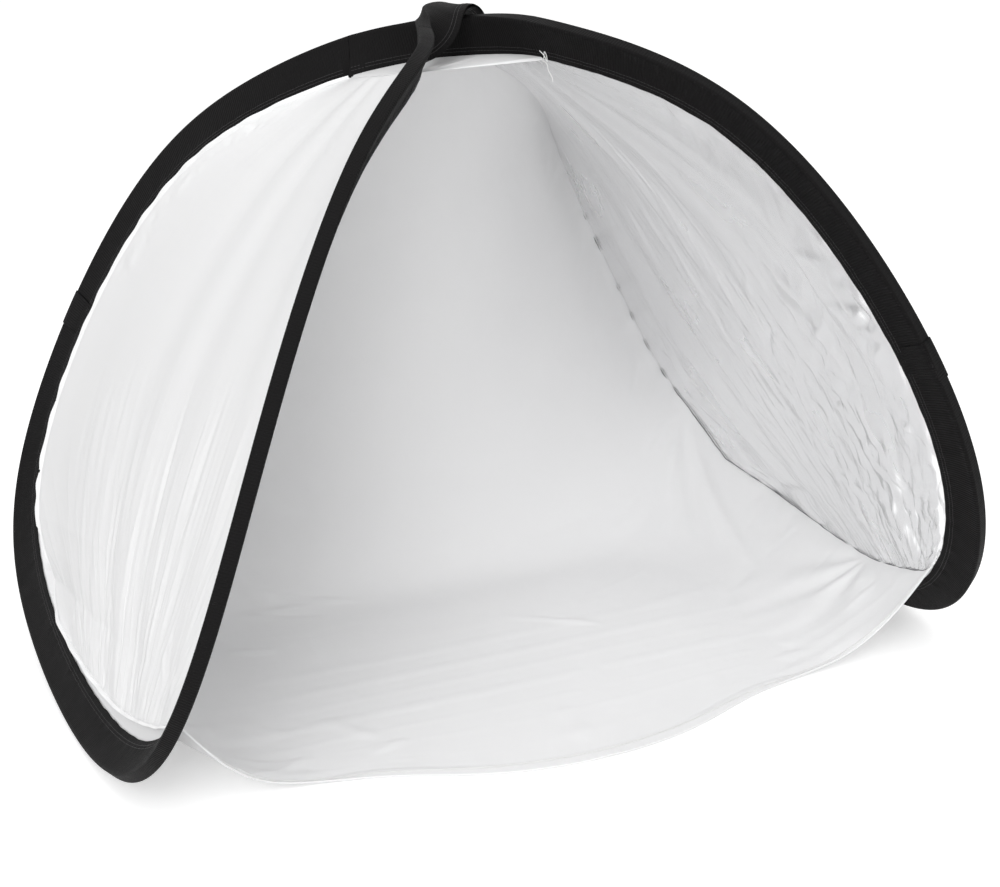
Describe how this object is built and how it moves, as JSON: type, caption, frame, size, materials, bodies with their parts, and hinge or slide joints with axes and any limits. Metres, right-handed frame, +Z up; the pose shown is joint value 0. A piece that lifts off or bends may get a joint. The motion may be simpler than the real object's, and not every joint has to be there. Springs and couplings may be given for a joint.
{
  "type": "photo light tent",
  "caption": "Pop-up fabric light tent on a crossed spring-steel hoop, with a white sweep, one silver wall and one white wall.",
  "frame": {"origin": "on the table under the floor cloth, straight below the point where the hoop crosses itself", "axes": "+Z up, +Y from the open front to the back, +X to the right seen from the open front"},
  "size_m": [0.6566, 0.5499, 0.4863],
  "materials": {
    "black_webbing": "ribbed black tape, two rows of black stitching",
    "spring_steel": "bare rolled strip",
    "ferrule": "crimped sleeve",
    "white_cloth": "matt white polyester",
    "translucent_cloth": "thin white diffusing polyester",
    "silver_cloth": "metallised silver face, softly crinkled"
  },
  "bodies": {
    "crown": {"crown_binding_over": "black_webbing", "crown_binding_under": "black_webbing", "crown_gusset": "white_cloth", "crown_strip_over": "spring_steel", "crown_strip_under": "spring_steel", "sweep": "white_cloth"},
    "left_side": {"left_binding_front": "black_webbing", "left_binding_lap": "black_webbing", "left_binding_rear": "black_webbing", "left_ferrule": "ferrule", "left_strip_front": "spring_steel", "left_strip_rear": "spring_steel", "left_wall": "translucent_cloth"},
    "right_side": {"right_binding_front": "black_webbing", "right_binding_lap": "black_webbing", "right_binding_rear": "black_webbing", "right_ferrule": "ferrule", "right_strip_front": "spring_steel", "right_strip_rear": "spring_steel", "right_wall": "silver_cloth"}
  },
  "joints": [
    {"name": "right_fold", "type": "hinge", "parent": "crown", "child": "right_side", "pos_m": [0.05294, -0.02078, 0.43891], "axis": [0.0688, 0.9805, -0.1838], "range_deg": [0, 34], "stiffness_Nm_per_rad": 0.5, "springref_deg": -22.92, "deforming": ["sweep"]},
    {"name": "left_fold", "type": "hinge", "parent": "crown", "child": "left_side", "pos_m": [-0.05295, -0.02075, 0.4389], "axis": [0.0691, -0.9805, 0.184], "range_deg": [0, 34], "stiffness_Nm_per_rad": 0.5, "springref_deg": -22.92}
  ],
  "couplings": [
    {"joint": "left_fold", "follows": "right_fold", "ratio": 1}
  ]
}
